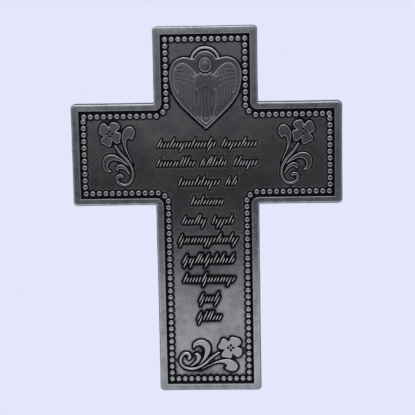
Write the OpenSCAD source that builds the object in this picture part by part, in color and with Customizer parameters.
// Small wall memorial cross, cast in one piece.
//
// The casting is drawn as three solids that meet face to face at the
// shoulders: the upright and the two arms. Each is then a plain block, so the
// four open corners of the cross stay open to whatever touches it.
//
// A Latin cross with a raised rounded rim round a sunken field. On the field
// stand a border of domed beads, a heart medallion with a guardian figure and
// a halo, three sprays of one flower-and-scroll motif, and rows of slanted
// relief strokes where an inscription would be. The back is flat, with one
// blind hole that hangs on a nail.
//
// The back face lies in the XZ plane, the front faces -Y and the top is +Z.
// The origin is the centre of the mouth of the nail hole. Distances down are
// measured from the layout line, which runs just under the top edge.

/* [Cross] */
// Height from the top edge to the bottom edge
cross_h = 152.4; // [146.4:1:170.4]
// Width across both arms
cross_w = 110.9; // [108.1:0.4:124.1]
// Width of the upright
shaft_w = 42.6; // [41.6:0.5:46.1]
// Height of the top edge over the layout line
top_rise = 0.3; // [0:0.1:1]
// Height of the arms
arm_h = 42.1; // [40.1:0.5:46.1]
// Distance from the layout line down to the arms
arm_drop = 30.7; // [28:0.1:33]
// Thickness of the casting over the rim
rim_t = 5; // [4.4:0.1:7]
// Thickness of the casting at the sunken field
field_t = 3.9; // [3.4:0.1:4.1]
// Radius of the outer corners, seen from the front
corner_r = 1.8; // [0.5:0.1:3]
// Radius of the soft front edge of the rim
edge_r = 0.9; // [0.4:0.1:1.2]
// Width of the small bevel round the back
back_bevel = 0.3; // [0.1:0.1:0.6]

/* [Rim and field] */
// Width of the rim on the sides of the upright and on the arm ends
rim_side = 3.25; // [2.65:0.1:3.45]
// Width of the rim along the top edge
rim_top = 3.3; // [2.7:0.1:3.5]
// Width of the rim along the bottom edge and along the arms
rim_end = 3; // [2.4:0.1:3.2]
// Radius of the rim where it turns the four inner corners
armpit_r = 3; // [1:0.25:4]

/* [Beads] */
// Diameter of a bead at the field
bead_d = 2.3; // [1.6:0.1:2.4]
// Height of a bead above the field
bead_h = 0.8; // [0.4:0.1:1]
// Distance from bead to bead along a row
bead_pitch = 2.71; // [2.6:0.01:2.8]
// Distance from the outer edge to the middle of the bead row
bead_inset = 5.05; // [4.75:0.1:5.25]

/* [Heart medallion] */
// Half of the greatest width of the heart
heart_hw = 14.8; // [12:0.05:15]
// Distance from the layout line down to the shoulders of the heart
heart_top = 12.2; // [12:0.1:13]
// Distance from the layout line down to the point of the heart
heart_tip = 41.5; // [38:0.1:42]
// Height of the heart above the field
heart_h = 0.6; // [0.3:0.05:0.9]
// Width of the raised line round the heart
heart_line = 0.55; // [0.3:0.05:0.9]
// Outer radius of the halo
halo_r = 6.1; // [5.6:0.1:6.3]
// Width of the halo band
halo_w = 1.05; // [0.7:0.05:1.2]

/* [Flower sprays] */
// Radius of the flower
flower_r = 5.35; // [4.4:0.05:5.6]
// Height of the sprays above the field
spray_h = 0.65; // [0.3:0.05:0.9]
// Distance of the side flowers from the middle line
side_flower_x = 39.6; // [38.5:0.1:40.5]
// Distance from the layout line down to the side flowers
side_flower_d = 43; // [42:0.1:44]
// Distance of the bottom flower from the middle line
foot_flower_x = 8.6; // [8:0.1:9]
// Distance from the bottom edge up to the bottom flower
foot_flower_up = 18.4; // [17.9:0.1:19.1]

/* [Stroke rows] */
// Height of the short strokes
stroke_low = 2.5; // [1.8:0.1:2.8]
// Height of the tall strokes
stroke_tall = 4.4; // [3.2:0.1:4.6]
// Width of a stroke
stroke_w = 0.5; // [0.35:0.05:0.6]
// Distance from stroke to stroke
stroke_pitch = 1.3; // [1.1:0.05:2]
// Lean of the strokes from upright, in degrees
stroke_lean = 27; // [10:1:32]
// Height of the strokes above the field
stroke_h = 0.6; // [0.3:0.05:0.8]

/* [Nail hole] */
// Diameter of the nail hole
hole_d = 5; // [3:0.5:7]
// Depth of the nail hole
hole_depth = 2.6; // [1.5:0.1:3]
// Distance from the layout line down to the nail hole
hole_drop = 14; // [10:1:20]

/* [Hidden] */

pewter = [0.42, 0.43, 0.45];
pewter_dark = [0.22, 0.22, 0.24];
pewter_bright = [0.62, 0.63, 0.66];

eps = 0.01;
half_shaft = shaft_w / 2;
half_span = cross_w / 2;
arm_top = arm_drop;
arm_bottom = arm_drop + arm_h;
d_top = -top_rise;
d_foot = cross_h - top_rise;

// A small repeatable number from 0 to 1 for each i
function chance(i) = let (s = sin(i * 127.1 + 31.7) * 4375.85) s - floor(s);

// Catmull-Rom curve through the rows of p, each of any length
function cr(a, b, c, d, t) =
    0.5 * (2 * b + (c - a) * t + (2 * a - 5 * b + 4 * c - d) * t * t
           + (3 * b - a - 3 * c + d) * t * t * t);
function at(p, i) = p[max(0, min(len(p) - 1, i))];
function curve(p, n) = concat(
    [for (i = [0 : len(p) - 2], k = [0 : n - 1])
        cr(at(p, i - 1), p[i], p[i + 1], at(p, i + 2), k / n)],
    [p[len(p) - 1]]);

// Outline of a tapering ribbon: rows of c are x, down, full width
function unit(v) = v / max(norm(v), 1e-6);
function side(c, i, s) =
    let (a = at(c, i - 1), b = at(c, i + 1), u = unit([b[0] - a[0], b[1] - a[1]]))
    [c[i][0] - s * u[1] * c[i][2] / 2, c[i][1] + s * u[0] * c[i][2] / 2];
function ribbon(p, n) = let (c = curve(p, n), m = len(c) - 1)
    concat([for (i = [0 : m]) side(c, i, 1)], [for (i = [m : -1 : 0]) side(c, i, -1)]);

// A low dome of base radius r and height h, standing on the level y = -base
module cap(x, d, r, h, base) {
    big = (r * r + h * h) / (2 * h);
    intersection() {
        translate([x, -(base + h - big), hole_drop - d]) sphere(r = big, $fn = 48);
        translate([x - r - 1, -(base + h + 1), hole_drop - d - r - 1])
            cube([2 * r + 2, h + 1 + 2 * eps, 2 * r + 2]);
    }
}

// Turns a drawing of x and distance down from the layout line into a raised
// shape that stands from y = -a to y = -b
module raise(a, b) {
    translate([0, -a, hole_drop]) rotate([90, 0, 0])
        linear_extrude(height = b - a) mirror([0, 1]) children();
}

// Outline of a rectangle with round corners, x0..x1 by y0..y1
function soft_box(x0, x1, y0, y1, r, n = 6) = [
    for (q = [0 : 3], k = [0 : n])
        let (cx = (q == 0 || q == 3) ? x1 - r : x0 + r,
             cy = (q < 2) ? y1 - r : y0 + r,
             t = 90 * q + 90 * k / n)
        [cx + r * cos(t), cy + r * sin(t)]];

// Section of a bar half-width w: round front edges, bevelled back edges.
// The second number runs from the back (0) to the front (rim_t)
function bar_section(x0, x1) = concat(
    [[x0 + back_bevel, 0], [x1 - back_bevel, 0], [x1, back_bevel]],
    [for (k = [0 : 5]) [x1 - edge_r + edge_r * cos(18 * k), rim_t - edge_r + edge_r * sin(18 * k)]],
    [for (k = [5 : -1 : 0]) [x0 + edge_r - edge_r * cos(18 * k), rim_t - edge_r + edge_r * sin(18 * k)]],
    [[x0, back_bevel]]);

// One bar of the cross between x0..x1 and d0..d1 down from the layout line
module bar(x0, x1, d0, d1) {
    intersection() {
        raise(0, rim_t) polygon(soft_box(x0, x1, d0, d1, corner_r));
        translate([0, 0, hole_drop - d1])
            linear_extrude(height = d1 - d0)
                mirror([0, 1]) polygon(bar_section(x0, x1));
        translate([x0, 0, 0]) rotate([180, -90, 0])
            linear_extrude(height = x1 - x0)
                polygon(bar_section(hole_drop - d1, hole_drop - d0));
    }
}

// Plan of the sunken field, with the rim rounded at the four inner corners
module field_plan() {
    fx = half_shaft - rim_side;
    ax = half_span - rim_side;
    d0 = d_top + rim_top;
    d1 = d_foot - rim_end;
    a0 = arm_top + rim_end;
    a1 = arm_bottom - rim_end;
    r = armpit_r;
    // one quarter turn of the rim round an inner corner
    function turn(cx, cy, t0) = [for (k = [0 : 6]) let (t = t0 - 15 * k)
        [cx + r * cos(t), cy + r * sin(t)]];
    polygon(concat(
        [[-fx, d0], [fx, d0]],
        turn(fx + r, a0 - r, 180),
        [[ax, a0], [ax, a1]],
        turn(fx + r, a1 + r, -90),
        [[fx, d1], [-fx, d1]],
        turn(-fx - r, a1 + r, 0),
        [[-ax, a1], [-ax, a0]],
        turn(-fx - r, a0 - r, 90)));
}

module plate() {
    color(pewter)
        difference() {
            union() {
                bar(-half_shaft, half_shaft, d_top, d_foot);
                bar(-half_span, half_span, arm_top, arm_bottom);
            }
            raise(field_t, rim_t + 1) field_plan();
        }
}

// Places of the beads, as x and distance down, for the right half with x > 0;
// rows along the top and bottom include the middle bead
bead_x = half_shaft - bead_inset;
bead_ax = half_span - bead_inset;
bead_a0 = arm_top + bead_inset + 0.15;
bead_a1 = arm_bottom - bead_inset;
bead_d0 = d_top + rim_top + 2;
bead_d1 = d_foot - bead_inset;
n_half = round(bead_x / bead_pitch);
n_up = floor((bead_a0 - 3.2 - bead_d0) / bead_pitch);
n_arm = floor((bead_ax - bead_x - 3.6) / bead_pitch);
n_end = floor((bead_a1 - bead_a0 - 1.9) / bead_pitch);
n_low = floor((bead_d1 - bead_a1 - 3) / bead_pitch);

// The shoulder: midway between two beads, just outside the side of the upright
shoulder = let (first = bead_ax - 0.3, k = floor((first - half_shaft) / bead_pitch - 0.5))
    first - (k + 0.5) * bead_pitch;
function bead_places() = concat(
    [for (i = [-n_half : n_half], d = [bead_d0, bead_d1])
        [i * bead_x / n_half, d]],
    [for (s = [-1, 1], k = [1 : n_up]) [s * bead_x, bead_d0 + k * bead_pitch]],
    [for (s = [-1, 1]) [s * (bead_x + 1.35), bead_a0 - 1.55]],
    [for (s = [-1, 1], k = [0 : n_arm]) [s * (bead_ax - 0.3 - k * bead_pitch), bead_a0]],
    [for (s = [-1, 1], k = [0 : n_end - 1]) [s * bead_ax, bead_a1 - (k + 1) * bead_pitch]],
    [for (s = [-1, 1], k = [0 : n_arm]) [s * (bead_ax - 0.3 - k * bead_pitch), bead_a1]],
    [for (s = [-1, 1]) [s * (bead_x + 1.4), bead_a1 + 1.3]],
    [for (s = [-1, 1], k = [1 : n_low]) [s * bead_x, bead_d1 - k * bead_pitch]]);

// The beads whose middles lie between x0 and x1
module beads(x0, x1) {
    r = (bead_d * bead_d / 4 + bead_h * bead_h) / (2 * bead_h);
    color(pewter_bright)
        for (p = bead_places())
            if (p[0] > x0 && p[0] < x1)
                translate([p[0], -(field_t + bead_h - r), hole_drop - p[1]])
                    sphere(r = r, $fn = 32);
}

// Half of the heart, from the foot of the halo to the point: x, down
function heart_half(grow = 0) = let (w = heart_hw + grow, t = heart_top - grow,
                                     h = heart_tip + 1.4 * grow - t)
    curve([[0.37 * w, t + 0.02 * h], [0.6 * w, t], [0.83 * w, t + 0.045 * h],
           [0.965 * w, t + 0.15 * h], [w, t + 0.27 * h], [0.93 * w, t + 0.465 * h],
           [0.74 * w, t + 0.63 * h], [0.44 * w, t + 0.79 * h], [0, t + h]], 5);
function heart_outline(grow = 0) = let (h = heart_half(grow))
    concat(h, [for (i = [len(h) - 2 : -1 : 0]) [-h[i][0], h[i][1]]]);

halo_d = heart_top + 1.8;
dome_r = halo_r - halo_w - 0.3;

module heart_plan(grow = 0) {
    polygon(heart_outline(grow));
    translate([0, halo_d + 0.5]) circle(r = dome_r + grow, $fn = 48);
}

// A feather of the wing: a ribbon from (x, d) that leans out by lean degrees
module feather(x, d, l, w, lean) {
    polygon(ribbon([[x, d, 0.6 * w], [x + 0.5 * l * sin(lean), d + 0.5 * l * cos(lean), w],
                    [x + l * sin(lean + 4), d + l * cos(lean + 4), 0.25 * w]], 4));
}

// The winged guardian: a wing a side, and two rows of feathers on each
module wing_plan() {
    for (s = [-1, 1]) scale([s, 1])
        polygon(curve([[3.2, 20.5], [5, 18.6], [7, 16.9], [9.2, 16], [11.3, 17.2], [12.3, 20],
                       [12.1, 23.6], [10.6, 28], [8, 31.6], [5.2, 33.6], [3.4, 31]], 3));
}
module feathers_plan() {
    for (s = [-1, 1]) scale([s, 1]) {
        for (k = [0 : 5]) feather(4.8 + 1.2 * k, 19.4 - 0.5 * k + 0.1 * k * k, 5.6 - 0.3 * k, 0.8, 6 + 2 * k);
        for (k = [0 : 4]) feather(4.4 + 1.3 * k, 26.4 - 0.5 * k, 6.4 - 0.9 * k, 0.8, -4 - 3 * k);
    }
}

module gown_plan() {
    polygon(concat(
        curve([[2.2, 18.2], [4, 19.4], [4.2, 22.6], [3, 26], [2.9, 30], [1.9, 35.6]], 4),
        [for (p = curve([[1.9, 35.6], [0, 36.6], [-1.9, 35.6]], 4)) p],
        curve([[-1.9, 35.6], [-2.9, 30], [-3, 26], [-4.2, 22.6], [-4, 19.4], [-2.2, 18.2]], 4)));
}

module medallion() {
    top = field_t + heart_h;
    color(pewter) {
        difference() {
            raise(field_t - eps, top + 0.25) heart_plan();
            // the ground inside the raised line
            raise(top, top + 1) heart_plan(-heart_line);
        }
        // halo band, open below the shoulders of the heart
        raise(field_t - eps, top + 0.1)
            difference() {
                translate([0, halo_d]) circle(r = halo_r, $fn = 64);
                translate([0, halo_d]) circle(r = halo_r - halo_w, $fn = 64);
                translate([-8, halo_d - 1.2]) square([16, 10]);
            }
    }
    color(pewter_bright) {
        raise(top - eps, top + 0.12) wing_plan();
        raise(top - eps, top + 0.22) feathers_plan();
        raise(top - eps, top + 0.3) gown_plan();
        // hair, face and the folded hands
        cap(0, 15.1, 3.4, 0.25, top);
        cap(0, 15.4, 2, 0.38, top);
        cap(0, 22.4, 1.3, 0.4, top);
    }
}

// The flower: four petals. Petal edges lie at these angles, measured
// clockwise from +X, and each petal swells and dips along its outer edge,
// by these fractions of the flower's radius, from one edge to the next
petal_edges = [-97, -18, 72, 163, 263];
petal_lobes = [
    [0.5, 0.87, 0.95, 1.01, 1.01, 0.91, 0.52],
    [0.52, 0.83, 0.87, 0.88, 1.01, 0.88, 0.5],
    [0.5, 0.97, 0.97, 0.91, 0.98, 0.86, 0.47],
    [0.47, 0.82, 0.88, 0.92, 1, 0.89, 0.5]];
function petal(i) = let (c = curve(petal_lobes[i], 4), m = len(c) - 1) [
    for (k = [0 : m]) let (
        t = petal_edges[i] + (petal_edges[i + 1] - petal_edges[i]) * k / m,
        r = flower_r * c[k])
        [r * cos(t), r * sin(t)]];

// Stem and leaves of the spray, from the middle of the flower:
// x, down, width at each bend
stem = [[1.1, 3.1, 0.7], [1.8, 4.6, 0.9], [4, 7.9, 1], [7.2, 11.5, 1.05], [9, 15.7, 1], [8.3, 19.6, 1],
        [5.6, 21.3, 1.1], [2.6, 20, 1.2], [2.5, 17.7, 1.4], [4.5, 17.5, 1.5]];
small_leaf = [[2.8, 15.3, 0.2], [2.8, 14.2, 1.4], [3.9, 13.5, 1.8], [5.5, 14, 1.3],
              [6.8, 15.3, 1], [8, 17.3, 0.2]];
hook_leaf = [[0.2, 15.7, 0.2], [-1.6, 14.8, 1.8], [-2.3, 12.6, 2.5], [-1.3, 10.4, 2.9],
             [0.8, 9.7, 2.5], [3, 10.3, 1.7], [5, 11.4, 1.1], [7.2, 13.3, 0.3]];
bulb_tail = [[6.6, 0, 2.6], [5.9, 2.2, 1.6], [5.8, 5, 1.2], [6.7, 7.8, 1.2],
             [8.1, 10.6, 1.1], [9.5, 13.3, 0.2]];
bulb_hook = [[9, -0.4, 2.4], [9.6, 1, 1.6], [8.9, 2.5, 0.2]];

module spray_plan() {
    difference() {
        union() {
            circle(r = 0.56 * flower_r, $fn = 36);
            for (i = [0 : 3]) polygon(concat([[0, 0]], petal(i)));
        }
        for (q = [0 : 3]) rotate(90 * q) translate([0.165 * flower_r, 0]) circle(r = 0.35, $fn = 16);
    }
    for (p = [stem, small_leaf, hook_leaf, bulb_tail, bulb_hook]) polygon(ribbon(p, 4));
    translate([7.85, -0.6]) circle(r = 2.45, $fn = 36);
    translate([4.3, 17.6]) circle(r = 0.85, $fn = 20);
}

module side_spray(s) {
    color(pewter_bright)
        raise(field_t - eps, field_t + spray_h)
            translate([s * side_flower_x, side_flower_d]) scale([-s, 1]) spray_plan();
}

module foot_spray() {
    color(pewter_bright)
        raise(field_t - eps, field_t + spray_h)
            translate([foot_flower_x, d_foot - foot_flower_up]) rotate(90) spray_plan();
}

// Rows of strokes: distance down to the foot of the row, then the start and
// end of each group in the row
stroke_rows = [
    [49.2, [-20.6, 4], [5.7, 20.8]],
    [57, [-21, -4.6], [-3.2, 8.5], [10.4, 21]],
    [65, [-12.2, 5.4], [7, 12.6]],
    [73.1, [-7.2, 7]],
    [81.1, [-11.2, -0.4], [1.4, 11.2]],
    [89, [-12.8, 12.4]],
    [97.6, [-11.2, 11]],
    [105.7, [-11, 11]],
    [114, [-4.6, 4.6]],
    [122, [-5.6, 5.2]]];

// One leaning stroke that stands on (x, d); drop carries it below the row
module leaning(x, d, h, drop = 0) {
    k = tan(stroke_lean);
    polygon([[x - k * drop, d + drop], [x - k * drop + stroke_w, d + drop],
             [x + k * h + stroke_w, d - h], [x + k * h, d - h]]);
}

module stroke_rows_plan() {
    for (i = [0 : len(stroke_rows) - 1]) {
        row = stroke_rows[i];
        for (g = [1 : len(row) - 1]) {
            a = row[g][0];
            b = row[g][1] - stroke_low * tan(stroke_lean) - stroke_w;
            n = max(2, round((b - a) / stroke_pitch));
            for (k = [0 : n]) {
                c = chance(17 * i + 5 * g + k);
                tall = k == 0 || (c > 0.78 && k < n);
                leaning(a + (b - a) * k / n, row[0], tall ? stroke_tall * (k == 0 ? 0.9 : 1) : stroke_low,
                        (k > 0 && c < 0.1) ? 1.8 : 0);
            }
        }
    }
}

module strokes() {
    color(pewter_bright) raise(field_t - eps, field_t + stroke_h) stroke_rows_plan();
}

module nail_hole() {
    translate([0, 1, 0]) rotate([90, 0, 0])
        cylinder(d = hole_d, h = hole_depth + 1, $fn = 64);
}

// The part of the plate between x0 and x1
module plate_between(x0, x1) {
    intersection() {
        plate();
        translate([x0, -rim_t - 1, hole_drop - d_foot - 1])
            cube([x1 - x0, rim_t + 2, cross_h + 2]);
    }
}

module upright() {
    difference() {
        union() {
            plate_between(-shoulder, shoulder);
            beads(-shoulder, shoulder);
            medallion();
            foot_spray();
            strokes();
        }
        color(pewter_dark) nail_hole();
    }
}

module left_arm() {
    union() {
        plate_between(-half_span - 1, -shoulder);
        beads(-half_span, -shoulder);
        side_spray(-1);
    }
}

module right_arm() {
    union() {
        plate_between(shoulder, half_span + 1);
        beads(shoulder, half_span);
        side_spray(1);
    }
}

upright();
left_arm();
right_arm();
